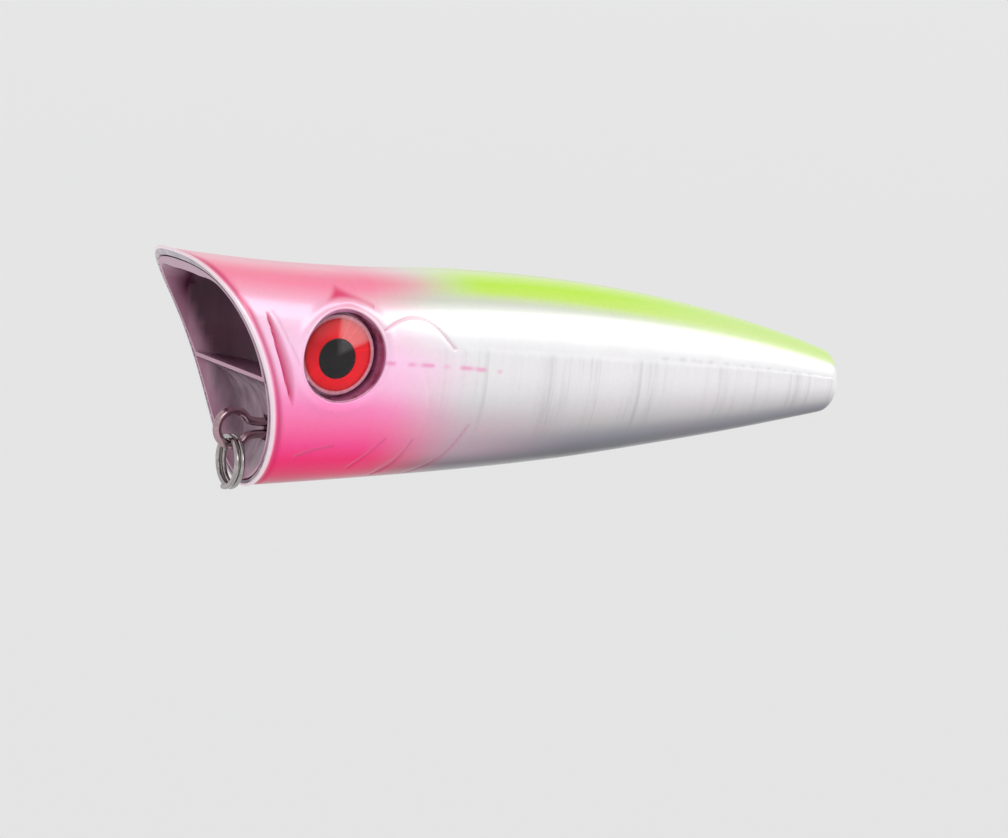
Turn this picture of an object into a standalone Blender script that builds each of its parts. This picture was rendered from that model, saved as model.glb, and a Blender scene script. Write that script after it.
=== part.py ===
"""Topwater popper, 79 mm long: two moulded half shells round a clear mouth cup, 3-D eyes, a wire line
tie with its split ring, two recessed hook pins, fixed ballast and three rattle balls.

Stations run along +X to the tail at BODY_LENGTH, the upper lip lying just aft of 0; the head faces
-X, Z is up and -Y is the lure's left flank. Everything hangs on one empty that puts the centre of the line
tie's eye on the world origin.
"""
import math

import bmesh
import bpy
import numpy as np
from mathutils import Matrix, Vector

MM = 0.001

# Body
BODY_LENGTH = 80 * MM
BODY_START = -4 * MM
WALL = 1.2 * MM
WALL_AT_LIP = 0.75 * MM
WALL_TAPER = (10 * MM, 22 * MM)
SEAM_GAP = 0.1 * MM
TAIL_ROUND = 1.5 * MM
TAIL_TURNS = (30, 55, 75, 90)
LOFT_STEPS = 20
SECTION_POINTS = 28

# Station, back, belly, half width and widest level, in mm: the lines of the body
BODY_LINES = (
    (-4, 12.1, -12.4, 9.8, 3.6),
    (4, 11.2, -12.2, 9.3, 3.4),
    (12, 10.5, -11.85, 8.9, 2.6),
    (22, 10.1, -11.25, 8.6, 1.5),
    (34, 10.1, -10.4, 8.3, 0.8),
    (46, 9.35, -9.25, 7.5, 0.3),
    (58, 7.75, -7.65, 6.3, 0.0),
    (68, 5.65, -6.15, 4.9, -0.3),
    (76, 3.45, -4.8, 3.5, -0.7),
    (80, 2.1, -4.1, 2.7, -1.0),
)
SHOULDER_AT_HEAD = 3.0
SHOULDER_AT_TAIL = 2.2
KEEL = 2.0

# Mouth: a concave face swept on a large arc; in it a deep scoop over a shelf, and a hollow chin
MOUTH_ARC = 34 * MM
MOUTH_REACH = 40 * MM
LOWER_LIP = Vector((10.3 * MM, 0, -12 * MM))
CUP_FIT = 0.15 * MM
CUP_WALL = 0.8 * MM
CUP_BACK = 14.7 * MM
CUP_STEPS = 7
SCOOP = {"start": 6.5 * MM, "depth": 5.8 * MM}
SCOOP_BACK = {"start": 7.0 * MM, "depth": 6.2 * MM}
SCOOP_LEVEL = 4.5 * MM
DOME_TURNS = (0, 20, 38, 54, 68, 80)
SHELF_TOP = 0.2 * MM
SHELF_THICKNESS = 1.0 * MM
CHIN_ARC = 5.9 * MM
CHIN_CENTRE = Vector((6.7 * MM, 0, -6.2 * MM))
CHIN_PLATE = 1.2 * MM
OVERCUT = 0.02 * MM

# Line tie: a wire eye whose two legs are clamped behind a rib
TIE_CENTRE = Vector((9.1 * MM, 0, -6.2 * MM))
TIE_WIRE = 0.9 * MM
TIE_RADIUS = 1.75 * MM
TIE_OPENING = math.radians(38)
TIE_THROAT = 3.2 * MM
TIE_LEG_OFFSET = 0.6 * MM
TIE_BEND = 0.35 * MM
TIE_LEG_END = 7.85 * MM
TIE_FOOT = 2.3 * MM
TIE_STEPS = 19
TIE_SLOT_FIT = 0.25 * MM
TIE_RIB = (15.0 * MM, 16.2 * MM)
TIE_RIB_TOP = -2.2 * MM

# Split ring: two turns of wire side by side, hanging on the line tie
RING_OUTSIDE = 5.6 * MM
RING_WIRE = 0.55 * MM
RING_PITCH = 0.6 * MM
RING_CLEARANCE = 0.1 * MM
RING_STEPS = 44

# Eyes, measured outward from the middle plane
EYE_CENTRE = Vector((16.5 * MM, 0, 2.4 * MM))
EYE_RADIUS = 4.0 * MM
PUPIL_RADIUS = 2.0 * MM
SOCKET_FLOOR = 6.5 * MM
SOCKET_FIT = 0.2 * MM
SOCKET_DRAFT = 0.16
SOCKET_WALL = 0.8 * MM
SOCKET_REACH = 6 * MM
FOIL_THICKNESS = 0.4 * MM
EYE_GAP = 0.1 * MM
LENS_EDGE = 0.35 * MM
LENS_DOME = 0.75 * MM

# Hook pins: a cross pin over a narrow slot in the belly, one amidships and one under the tail
HOOK_STATIONS = {"belly": 42 * MM, "rear": 70 * MM}
HOOK_PIN_RADIUS = 0.6 * MM
HOOK_PIN_LENGTH = 3.8 * MM
HOOK_PIN_HEIGHT = 1.8 * MM
HOOK_PIN_FIT = 0.15 * MM
HOOK_SLOT = (7 * MM, 1.9 * MM, 4.6 * MM)
HOOK_SLOT_BELOW = 3 * MM

# Structure inside the shells
REACH = 16 * MM
FAR = 40 * MM
RIB = 1.0 * MM
BULKHEADS = (23.6 * MM, 37 * MM, 49 * MM)
RATTLE_FLOOR = -3.1 * MM
RATTLE_LANES = (-4.4 * MM, 0, 4.4 * MM)
RATTLE_RADIUS = 1.8 * MM
RATTLE_REST = 34.9 * MM
RATTLE_FIT = 0.15 * MM
RAIL = 0.5 * MM
RAIL_HEIGHT = 0.7 * MM
RAIL_OFFSET = 2.25 * MM
SLUG = {"station": 30.8 * MM, "level": -6.9 * MM, "radius": 2.3 * MM, "length": 9 * MM}
SLUG_RIBS = (27.8 * MM, 33 * MM)
TAIL_BALLAST = ((54.5 * MM, 3.0 * MM), (61.3 * MM, 2.7 * MM))
BALLAST_LEVEL = -1.6 * MM
BALLAST_FIT = 0.3 * MM
CRADLE = 0.8 * MM
CRADLE_SPREAD = 0.56
LOCATING_PINS = (
    (26.9 * MM, 6.6 * MM),
    (46.6 * MM, 5.2 * MM),
    (50.8 * MM, -5.2 * MM),
    (65.6 * MM, 1.9 * MM),
)
LOCATING_BOSS = 1.6 * MM
LOCATING_PIN = 0.8 * MM
LOCATING_REACH = 1.6 * MM
LOCATING_ROOT = 0.8 * MM
LOCATING_FIT = 0.15 * MM

SIDES = {"left": -1, "right": 1}
TURN_TO_X = Matrix.Rotation(math.pi / 2, 4, "Y")
TURN_TO_Y = Matrix.Rotation(-math.pi / 2, 4, "X")


# ---------------------------------------------------------------- scene and materials

def clear_scene():
    for obj in list(bpy.data.objects):
        bpy.data.objects.remove(obj, do_unlink=True)


def new_collection(name):
    collection = bpy.data.collections.new(name)
    bpy.context.scene.collection.children.link(collection)
    return collection


class Workshop:
    """Takes in each part and cutter, and hangs them all on the frame's empty."""

    def __init__(self):
        self.parts = new_collection("topwater_popper")
        self.cutters = new_collection("cutters")
        self.frame = bpy.data.objects.new("popper_frame", None)
        self.frame.location = -TIE_CENTRE
        self.parts.objects.link(self.frame)

    def part(self, name, data, colour, roughness, metallic=0.0, location=(0, 0, 0)):
        made = bpy.data.materials.new(f"{name}_material")
        made.use_nodes = True
        shader = made.node_tree.nodes["Principled BSDF"]
        shader.inputs["Base Color"].default_value = (*colour, 1)
        shader.inputs["Roughness"].default_value = roughness
        shader.inputs["Metallic"].default_value = metallic
        made.diffuse_color = (*colour, 1)
        data.materials.append(made)
        obj = bpy.data.objects.new(name, data)
        obj.location = location
        obj.parent = self.frame
        self.parts.objects.link(obj)
        return obj

    def cutter(self, name, data, location=(0, 0, 0), turn=(0, 0, 0)):
        obj = bpy.data.objects.new(name, data)
        obj.location = location
        obj.rotation_euler = turn
        obj.parent = self.frame
        obj.hide_render = True
        obj.display_type = "WIRE"
        self.cutters.objects.link(obj)
        return obj

    def block(self, name, low, high):
        """A box cutter between two corners."""
        low, high = Vector(low), Vector(high)
        return self.cutter(name, box_mesh(name, high - low), (high + low) / 2)


def boolean(obj, other, operation="DIFFERENCE"):
    modifier = obj.modifiers.new(f"{operation.lower()}_{other.name}", "BOOLEAN")
    modifier.operation = operation
    modifier.object = other
    modifier.solver = "EXACT"


# ---------------------------------------------------------------- meshes

def finished_mesh(name, bm):
    """A mesh from bm with its faces pointing out, shaded smooth where it is round."""
    bmesh.ops.recalc_face_normals(bm, faces=bm.faces)
    mesh = bpy.data.meshes.new(name)
    bm.to_mesh(mesh)
    bm.free()
    mesh.shade_smooth()
    mesh.set_sharp_from_angle(angle=math.radians(40))
    return mesh


def box_mesh(name, size):
    bm = bmesh.new()
    bmesh.ops.create_cube(bm, size=1, matrix=Matrix.Diagonal((*size, 1)))
    return finished_mesh(name, bm)


def rod_mesh(name, length, radius, far_radius=None, turn=TURN_TO_Y, segments=32):
    """A rod centred on its axis, or a frustum with far_radius at the axis's high end."""
    bm = bmesh.new()
    far_radius = radius if far_radius is None else far_radius
    bmesh.ops.create_cone(bm, cap_ends=True, segments=segments, radius1=radius,
                          radius2=far_radius, depth=length, matrix=turn)
    return finished_mesh(name, bm)


def ball_mesh(name, radius, segments=16, rings=10):
    bm = bmesh.new()
    bmesh.ops.create_uvsphere(bm, u_segments=segments, v_segments=rings, radius=radius)
    return finished_mesh(name, bm)


def loft(name, rings):
    """A closed body through rings of equal length, with a flat cap at each end."""
    bm = bmesh.new()
    rows = [[bm.verts.new(point) for point in ring] for ring in rings]
    count = len(rows[0])
    for low, high in zip(rows, rows[1:]):
        for k in range(count):
            following = (k + 1) % count
            bm.faces.new((low[k], low[following], high[following], high[k]))
    bm.faces.new(rows[0])
    bm.faces.new(reversed(rows[-1]))
    return finished_mesh(name, bm)


def profile_mesh(name, points, closed):
    """An outline in the XZ plane, for a Screw to turn about Z."""
    mesh = bpy.data.meshes.new(name)
    edges = [(k, k + 1) for k in range(len(points) - 1)]
    if closed:
        edges.append((len(points) - 1, 0))
    mesh.from_pydata([(x, 0, z) for x, z in points], edges, [])
    return mesh


def turn_on_screw(obj, steps=28):
    screw = obj.modifiers.new("turned", "SCREW")
    screw.axis = "Z"
    screw.steps = steps
    screw.render_steps = steps
    screw.use_merge_vertices = True
    screw.merge_threshold = 0.00001
    screw.use_smooth_shade = True


def wire_curve(name, points, diameter):
    curve = bpy.data.curves.new(name, "CURVE")
    curve.dimensions = "3D"
    curve.bevel_depth = diameter / 2
    curve.bevel_resolution = 2
    curve.use_fill_caps = True
    spline = curve.splines.new("POLY")
    spline.points.add(len(points) - 1)
    for place, point in zip(spline.points, points):
        place.co = (*point, 1)
    spline.use_smooth = True
    return curve


# ---------------------------------------------------------------- the body's lines

def body_line(column, station):
    """One column of BODY_LINES at a station, on a cubic through its points, in metres."""
    places = np.array([row[0] for row in BODY_LINES], float)
    values = np.array([row[column] for row in BODY_LINES], float)
    slopes = np.gradient(values, places)
    x = float(np.clip(station / MM, places[0], places[-1]))
    i = int(min(np.searchsorted(places, x, side="right") - 1, len(places) - 2))
    span = places[i + 1] - places[i]
    t = (x - places[i]) / span
    value = (
        (2 * t**3 - 3 * t**2 + 1) * values[i]
        + (t**3 - 2 * t**2 + t) * span * slopes[i]
        + (3 * t**2 - 2 * t**3) * values[i + 1]
        + (t**3 - t**2) * span * slopes[i + 1]
    )
    return value * MM


def belly(station):
    return body_line(2, station)


def wall(station):
    """The shell's thickness at a station: thin at the lip, full from behind the mouth on."""
    start, end = WALL_TAPER
    share = min(max((station - start) / (end - start), 0.0), 1.0)
    return WALL_AT_LIP + (WALL - WALL_AT_LIP) * share * share * (3 - 2 * share)


def section_point(station, angle, inset=0.0):
    """A point of the body's surface; angle 0 is at +Y on the widest level, 90 degrees is the back."""
    into_tail = min(max(station + inset - (BODY_LENGTH - TAIL_ROUND), 0.0) / TAIL_ROUND, 1.0)
    drawn_in = inset + TAIL_ROUND * (1 - math.sqrt(1 - into_tail**2))
    level = body_line(4, station)
    rise = body_line(1, station) - drawn_in - level
    drop = belly(station) + drawn_in - level
    half_width = body_line(3, station) - drawn_in
    share = min(max(station / BODY_LENGTH, 0.0), 1.0)
    shoulder = SHOULDER_AT_HEAD + (SHOULDER_AT_TAIL - SHOULDER_AT_HEAD) * share
    cosine, sine = math.cos(angle), math.sin(angle)
    power, reach = (shoulder, rise) if sine > 0 else (KEEL, drop)
    y = half_width * math.copysign(abs(cosine) ** (2 / power), cosine)
    return Vector((station, y, level + reach * abs(sine) ** (2 / power)))


def full_ring(station, inset=0.0):
    turns = [2 * math.pi * (k + 0.5) / SECTION_POINTS for k in range(SECTION_POINTS)]
    return [section_point(station, turn, inset) for turn in turns]


def half_ring(station, side):
    """One half's outline from keel to back, half the seam's gap off the middle plane."""
    ring = []
    for k in range(SECTION_POINTS // 2 + 1):
        point = section_point(station, 2 * math.pi * k / SECTION_POINTS - math.pi / 2)
        point.y = side * max(point.y, SEAM_GAP / 2)
        ring.append(point)
    return ring


def stations_to(end):
    """Even stations from the mouth to the tail's rounding, then closer ones round it."""
    plain = list(np.linspace(BODY_START, end - TAIL_ROUND, LOFT_STEPS))
    turns = [math.radians(angle) for angle in TAIL_TURNS]
    return plain + [end - TAIL_ROUND + TAIL_ROUND * math.sin(turn) for turn in turns]


def lined_rings(start, end, clearance):
    """Even rings along the shell's inner surface, drawn in from it by clearance."""
    return [full_ring(x, wall(x) + clearance) for x in np.linspace(start, end, CUP_STEPS)]


def bowl_rings(start, depth, clearance):
    """Rings of a bowl: along the shell's inner surface up to start, then closing to a dome."""
    turns = [math.radians(angle) for angle in DOME_TURNS]
    places = [(BODY_START, 1.0), (start / 2, 1.0)]
    places += [(start + depth * math.sin(turn), math.cos(turn)) for turn in turns]
    rings = []
    for station, share in places:
        centre = Vector((station, 0, SCOOP_LEVEL))
        outline = full_ring(station, wall(station) + clearance)
        rings.append([centre + (point - centre) * share for point in outline])
    return rings


# ---------------------------------------------------------------- cutters shared by the parts

def mouth_sweep(shop):
    """A large cylinder across the head, in front of its face, that hollows the mouth's outline."""
    mesh = rod_mesh("mouth_sweep", MOUTH_REACH, MOUTH_ARC, segments=160)
    return shop.cutter("mouth_sweep", mesh, LOWER_LIP - Vector((MOUTH_ARC, 0, 0)))


def eye_boss(shop, name, side, fit=0.0):
    """The round boss behind an eye, from inside the head out past its cheek."""
    radius = EYE_RADIUS + SOCKET_FIT + SOCKET_WALL + fit
    middle = SOCKET_FLOOR - SOCKET_WALL - fit + SOCKET_REACH / 2
    place = (EYE_CENTRE.x, side * middle, EYE_CENTRE.z)
    return shop.cutter(name, rod_mesh(name, SOCKET_REACH, radius), place)


def rattle_box(shop):
    """The rattle chamber's floor and the two rails between its three lanes."""
    start, end = BULKHEADS[0] + RIB / 2, BULKHEADS[1] + RIB / 2
    made = [shop.block("rattle_floor", (start, -REACH, RATTLE_FLOOR - RIB), (end, REACH, RATTLE_FLOOR))]
    for name, side in SIDES.items():
        low = (start, side * RAIL_OFFSET - RAIL / 2, RATTLE_FLOOR - RIB / 2)
        high = (end, side * RAIL_OFFSET + RAIL / 2, RATTLE_FLOOR + RAIL_HEIGHT)
        made.append(shop.block(f"rail_{name}", low, high))
    return made


def structure(shop):
    """All that stands inside the shells: bulkheads, ribs, floor, rails, bosses and hook blocks."""
    made = rattle_box(shop)
    for k, station in enumerate(BULKHEADS):
        made.append(shop.block(f"bulkhead_{k + 1}", (station, -REACH, -REACH), (station + RIB, REACH, REACH)))
    made.append(shop.block("tie_rib", (TIE_RIB[0], -REACH, -REACH), (TIE_RIB[1], REACH, TIE_RIB_TOP)))
    for k, station in enumerate(SLUG_RIBS):
        low, high = (station, -REACH, -REACH), (station + CRADLE, REACH, RATTLE_FLOOR - RIB / 2)
        made.append(shop.block(f"slug_rib_{k + 1}", low, high))
    for k, (station, radius) in enumerate(TAIL_BALLAST):
        for end in (-1, 1):
            middle = station + end * radius * CRADLE_SPREAD
            low, high = (middle - CRADLE / 2, -REACH, -REACH), (middle + CRADLE / 2, REACH, REACH)
            made.append(shop.block(f"cradle_{k + 1}_{'aft' if end > 0 else 'fore'}", low, high))
    for where, station in HOOK_STATIONS.items():
        reach, half = HOOK_SLOT[0] / 2 + RIB, HOOK_PIN_LENGTH / 2 + RIB
        roof = belly(station) + HOOK_SLOT[2] + RIB
        low, high = (station - reach, -half, -REACH), (station + reach, half, roof)
        made.append(shop.block(f"{where}_hook_block", low, high))
    for name, side in SIDES.items():
        made.append(eye_boss(shop, f"eye_boss_{name}", side))
    for k, (station, level) in enumerate(LOCATING_PINS):
        mesh = rod_mesh("locating_boss", 2 * REACH, LOCATING_BOSS, segments=16)
        made.append(shop.cutter(f"locating_boss_{k + 1}", mesh, (station, 0, level)))
    return made


def cavity(shop):
    """The hollow of the body: its lines drawn in by the wall, less what stands inside."""
    mesh = loft("cavity", [full_ring(x, wall(x)) for x in stations_to(BODY_LENGTH - WALL)])
    hollow = shop.cutter("cavity", mesh)
    for piece in structure(shop):
        boolean(hollow, piece)
    return hollow


def hook_cutters(shop):
    """For each hook pin, the slot in the belly and the blind bore the pin lies in."""
    made = []
    for where, station in HOOK_STATIONS.items():
        half_length, half_width = HOOK_SLOT[0] / 2, HOOK_SLOT[1] / 2
        low = (station - half_length, -half_width, belly(station) - HOOK_SLOT_BELOW)
        high = (station + half_length, half_width, belly(station) + HOOK_SLOT[2])
        made.append(shop.block(f"{where}_slot", low, high))
        length, radius = HOOK_PIN_LENGTH + 2 * HOOK_PIN_FIT, HOOK_PIN_RADIUS + HOOK_PIN_FIT
        bore = rod_mesh("hook_bore", length, radius, segments=20)
        place = (station, 0, belly(station) + HOOK_PIN_HEIGHT)
        made.append(shop.cutter(f"{where}_bore", bore, place))
    return made


def ballast_seats(shop):
    made = []
    for k, (station, radius) in enumerate(TAIL_BALLAST):
        seat = ball_mesh("ballast_seat", radius + BALLAST_FIT, 24, 16)
        made.append(shop.cutter(f"ballast_seat_{k + 1}", seat, (station, 0, BALLAST_LEVEL)))
    slug = rod_mesh("slug_seat", SLUG["length"], SLUG["radius"] + RATTLE_FIT, turn=TURN_TO_X, segments=24)
    made.append(shop.cutter("slug_seat", slug, (SLUG["station"], 0, SLUG["level"])))
    return made


def tie_slot(shop):
    """The way for the line tie's two legs through the chin plate and the clamping rib."""
    half = TIE_WIRE / 2 + TIE_SLOT_FIT
    low = TIE_CENTRE + Vector((TIE_THROAT - TIE_SLOT_FIT, -half, -TIE_LEG_OFFSET - half))
    high = Vector((TIE_RIB[1] + OVERCUT, half, TIE_CENTRE.z + TIE_LEG_OFFSET + half))
    return shop.block("tie_slot", low, high)


def socket(shop, name, side):
    """The drafted pocket an eye sits in, open outward."""
    floor = EYE_RADIUS + SOCKET_FIT
    mouth = floor + SOCKET_DRAFT * SOCKET_REACH
    radii = (mouth, floor) if side < 0 else (floor, mouth)
    place = (EYE_CENTRE.x, side * (SOCKET_FLOOR + SOCKET_REACH / 2), EYE_CENTRE.z)
    return shop.cutter(f"socket_{name}", rod_mesh("socket", SOCKET_REACH, *radii, segments=40), place)


# ---------------------------------------------------------------- the parts

def half_shell(shop, name, side, cuts):
    mesh = loft(f"shell_{name}", [half_ring(x, side) for x in stations_to(BODY_LENGTH)])
    shell = shop.part(f"shell_{name}", mesh, (0.9, 0.42, 0.6), 0.2, 0.3)
    for cut in cuts:
        boolean(shell, cut)
    boolean(shell, socket(shop, name, side))
    for k, (station, level) in enumerate(LOCATING_PINS):
        if side < 0:
            length = LOCATING_REACH + LOCATING_ROOT
            pin = rod_mesh("locating_pin", length, LOCATING_PIN, segments=16)
            place = (station, LOCATING_REACH - length / 2, level)
            boolean(shell, shop.cutter(f"locating_pin_{k + 1}", pin, place), "UNION")
        else:
            length = LOCATING_REACH + 2 * LOCATING_FIT + LOCATING_ROOT
            hole = rod_mesh("locating_hole", length, LOCATING_PIN + LOCATING_FIT, segments=16)
            place = (station, length / 2 - LOCATING_ROOT, level)
            boolean(shell, shop.cutter(f"locating_hole_{k + 1}", hole, place))


def chin_round(shop, name, radius):
    """The round hollow over the chin, across the head."""
    return shop.cutter(name, rod_mesh(name, 2 * REACH, radius, segments=64), CHIN_CENTRE)


def mouth_cup(shop, sweep, slot):
    """The clear insert: a domed scoop over a shelf, and a hollow chin plate cored from behind."""
    cup_mesh = loft("mouth_cup", bowl_rings(**SCOOP_BACK, clearance=CUP_FIT))
    cup = shop.part("mouth_cup", cup_mesh, (0.3, 0.2, 0.27), 0.1)
    inside = CUP_FIT + CUP_WALL

    skirt_rings = lined_rings(BODY_START / 2, CUP_BACK, CUP_FIT + OVERCUT)
    skirt = shop.cutter("skirt", loft("skirt", skirt_rings))
    over_skirt = (-FAR, -FAR, SHELF_TOP - SHELF_THICKNESS / 2)
    boolean(skirt, shop.block("over_skirt", over_skirt, (FAR, FAR, FAR)))
    boolean(cup, skirt, "UNION")

    scoop = shop.cutter("scoop", loft("scoop", bowl_rings(**SCOOP, clearance=inside)))
    boolean(scoop, shop.block("under_scoop", (-FAR, -FAR, -FAR), (FAR, FAR, SHELF_TOP)))
    boolean(cup, scoop)

    dish = shop.cutter("dish", loft("dish", lined_rings(BODY_START, CUP_BACK + RIB, inside)))
    boolean(dish, chin_round(shop, "chin_face", CHIN_ARC), "INTERSECT")
    boolean(cup, dish)

    core_rings = lined_rings(CHIN_CENTRE.x, CUP_BACK + RIB, inside + OVERCUT)
    core = shop.cutter("core", loft("core", core_rings))
    boolean(core, shop.block("over_core", (-FAR, -FAR, SHELF_TOP - SHELF_THICKNESS), (FAR, FAR, FAR)))
    boolean(core, chin_round(shop, "chin_plate", CHIN_ARC + CHIN_PLATE))
    boolean(cup, core)

    for name, side in SIDES.items():
        boolean(cup, eye_boss(shop, f"cup_relief_{name}", side, fit=CUP_FIT))
    boolean(cup, sweep)
    boolean(cup, slot)


def line_tie(shop):
    """One wire: up the foot, out along a leg, round the eye, and back the same way below."""
    turns = np.linspace(TIE_OPENING, 2 * math.pi - TIE_OPENING, TIE_STEPS)
    half = [(TIE_LEG_END, TIE_FOOT), (TIE_LEG_END, TIE_LEG_OFFSET + TIE_BEND)]
    half += [(TIE_LEG_END - TIE_BEND, TIE_LEG_OFFSET), (TIE_THROAT, TIE_LEG_OFFSET)]
    path = half + [(TIE_RADIUS * math.cos(turn), TIE_RADIUS * math.sin(turn)) for turn in turns]
    path += [(x, -z) for x, z in reversed(half)]
    curve = wire_curve("line_tie", [(x, 0, z) for x, z in path], TIE_WIRE)
    shop.part("line_tie", curve, (0.6, 0.58, 0.55), 0.2, 1.0, TIE_CENTRE)


def split_ring(shop):
    """Two turns of wire whose ends meet at the bottom; its origin is the line tie's centre."""
    radius = (RING_OUTSIDE - RING_WIRE) / 2
    hole = TIE_RADIUS - TIE_WIRE / 2
    strand = hole - RING_CLEARANCE - RING_WIRE / 2
    drop = radius + math.sqrt(strand**2 - (RING_PITCH / 2) ** 2)
    points = []
    for k in range(RING_STEPS + 1):
        share = k / RING_STEPS - 0.5
        turn = 4 * math.pi * share + math.pi / 2
        across = 2 * RING_PITCH * share
        points.append((across, radius * math.cos(turn), -drop - radius * math.sin(turn)))
    curve = wire_curve("split_ring", points, RING_WIRE)
    shop.part("split_ring", curve, (0.72, 0.72, 0.72), 0.12, 1.0, TIE_CENTRE)


def eye(shop, name, side):
    """A foil iris round a black pupil, both under a domed clear lens."""
    facing = (side * -math.pi / 2, 0, 0)

    def seat(out):
        return (EYE_CENTRE.x, side * (SOCKET_FLOOR + out), EYE_CENTRE.z)

    hole = PUPIL_RADIUS + EYE_GAP
    outline = [(hole, FOIL_THICKNESS), (EYE_RADIUS, FOIL_THICKNESS), (EYE_RADIUS, 0), (hole, 0)]
    iris_mesh = profile_mesh(f"eye_iris_{name}", outline, True)
    iris = shop.part(f"eye_iris_{name}", iris_mesh, (0.8, 0.02, 0.03), 0.25, 0.6, seat(EYE_GAP))
    iris.rotation_euler = facing
    turn_on_screw(iris)

    pupil_mesh = rod_mesh(f"eye_pupil_{name}", FOIL_THICKNESS, PUPIL_RADIUS, segments=28)
    pupil_place = seat(EYE_GAP + FOIL_THICKNESS / 2)
    shop.part(f"eye_pupil_{name}", pupil_mesh, (0.01, 0.01, 0.01), 0.2, 0.0, pupil_place)

    turns = [math.radians(angle) for angle in range(90, -1, -18)]
    dome = [(EYE_RADIUS * math.cos(turn), LENS_EDGE + LENS_DOME * math.sin(turn)) for turn in turns]
    dome[0] = (0, LENS_EDGE + LENS_DOME)
    lens_mesh = profile_mesh(f"eye_lens_{name}", dome + [(EYE_RADIUS, 0), (0, 0)], False)
    lens_place = seat(2 * EYE_GAP + FOIL_THICKNESS)
    lens = shop.part(f"eye_lens_{name}", lens_mesh, (0.85, 0.8, 0.8), 0.03, 0.0, lens_place)
    lens.rotation_euler = facing
    turn_on_screw(lens)


def hook_pins(shop):
    for where, station in HOOK_STATIONS.items():
        mesh = rod_mesh(f"{where}_hook_pin", HOOK_PIN_LENGTH, HOOK_PIN_RADIUS, segments=20)
        place = (station, 0, belly(station) + HOOK_PIN_HEIGHT)
        shop.part(f"{where}_hook_pin", mesh, (0.62, 0.6, 0.57), 0.2, 1.0, place)


def weights(shop):
    """The belly slug, the two tail balls, and the three rattle balls at rest at the aft bulkhead."""
    slug = rod_mesh("belly_ballast", SLUG["length"], SLUG["radius"], turn=TURN_TO_X, segments=24)
    shop.part("belly_ballast", slug, (0.4, 0.4, 0.42), 0.5, 1.0, (SLUG["station"], 0, SLUG["level"]))
    for k, (station, radius) in enumerate(TAIL_BALLAST):
        name = f"tail_ballast_{k + 1}"
        place = (station, 0, BALLAST_LEVEL)
        shop.part(name, ball_mesh(name, radius), (0.6, 0.6, 0.6), 0.25, 1.0, place)
    level = RATTLE_FLOOR + RATTLE_RADIUS + RATTLE_FIT
    for k, lane in enumerate(RATTLE_LANES):
        name = f"rattle_ball_{k + 1}"
        place = (RATTLE_REST, lane, level)
        shop.part(name, ball_mesh(name, RATTLE_RADIUS), (0.65, 0.65, 0.65), 0.2, 1.0, place)


def build():
    clear_scene()
    shop = Workshop()
    sweep = mouth_sweep(shop)
    slot = tie_slot(shop)
    cuts = [cavity(shop), sweep, slot] + hook_cutters(shop) + ballast_seats(shop)
    for name, side in SIDES.items():
        half_shell(shop, name, side, cuts)
        eye(shop, name, side)
    mouth_cup(shop, sweep, slot)
    line_tie(shop)
    split_ring(shop)
    hook_pins(shop)
    weights(shop)


build()
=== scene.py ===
"""Looks of the topwater popper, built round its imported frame.

Shapes are worked out in millimetres at stations along the lure, with the upper lip at station 0,
the tail at 80, +Z up and -Y the left flank, and every piece is then set on the frame's origin, which
is the centre of the line tie's eye. The frame's shells, mouth cup, wires and eyes are stood for by
finer pieces of the same sizes; the pins, ballast and rattle balls stay and get finished materials.
"""

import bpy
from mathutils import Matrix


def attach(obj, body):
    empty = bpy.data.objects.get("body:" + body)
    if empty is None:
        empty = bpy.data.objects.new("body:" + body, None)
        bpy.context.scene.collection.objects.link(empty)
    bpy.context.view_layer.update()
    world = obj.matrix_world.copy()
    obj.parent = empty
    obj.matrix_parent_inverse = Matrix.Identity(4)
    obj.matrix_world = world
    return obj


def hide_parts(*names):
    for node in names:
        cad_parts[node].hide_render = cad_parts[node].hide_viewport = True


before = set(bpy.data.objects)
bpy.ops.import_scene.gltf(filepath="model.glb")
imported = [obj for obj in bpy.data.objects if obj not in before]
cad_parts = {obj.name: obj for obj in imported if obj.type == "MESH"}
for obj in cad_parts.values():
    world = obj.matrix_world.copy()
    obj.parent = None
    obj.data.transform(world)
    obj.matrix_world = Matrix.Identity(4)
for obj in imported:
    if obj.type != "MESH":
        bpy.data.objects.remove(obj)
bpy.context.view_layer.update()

import math

import bmesh
import bpy
import numpy as np
from mathutils import Matrix, Vector

MM = 0.001

# The body: station, back, belly, half width and widest level
BODY_LINES = (
    (-4, 12.1, -12.4, 9.8, 3.6),
    (4, 11.2, -12.2, 9.3, 3.4),
    (12, 10.5, -11.85, 8.9, 2.6),
    (22, 10.1, -11.25, 8.6, 1.5),
    (34, 10.1, -10.4, 8.3, 0.8),
    (46, 9.35, -9.25, 7.5, 0.3),
    (58, 7.75, -7.65, 6.3, 0.0),
    (68, 5.65, -6.15, 4.9, -0.3),
    (76, 3.45, -4.8, 3.5, -0.7),
    (80, 2.1, -4.1, 2.7, -1.0),
)
LENGTH = 80.0
START = -4.0
SHOULDER = (3.0, 2.2)
KEEL = 2.0
TAIL_ROUND = 1.5
SEAM = 0.03
WALL = 1.2
LIP_WALL = (0.42, 0.75)
WALL_TAPER = (8.0, 20.0)
UPPER_LIP = (42, 80)

# The mouth's face is part of a large cylinder across the head
MOUTH_CENTRE = (-23.7, -12.0)
MOUTH_ARC = 34.0
LIP_ROUND = 0.28

# The clear cup
CUP_FIT = 0.15
CUP_WALL = (0.3, 0.95)
CUP_BACK = 14.7
SCOOP = (6.5, 5.8)
SCOOP_BACK = (7.0, 6.2)
SCOOP_LEVEL = 4.5
SHELF_TOP = 0.2
SHELF = 1.0
CHIN_CENTRE = (6.7, 0, -6.2)
CHIN_ARC = 6.15
CHIN_PLATE = 0.95
CUP_PALE_RIM = (0.1, 1.8)

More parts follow.
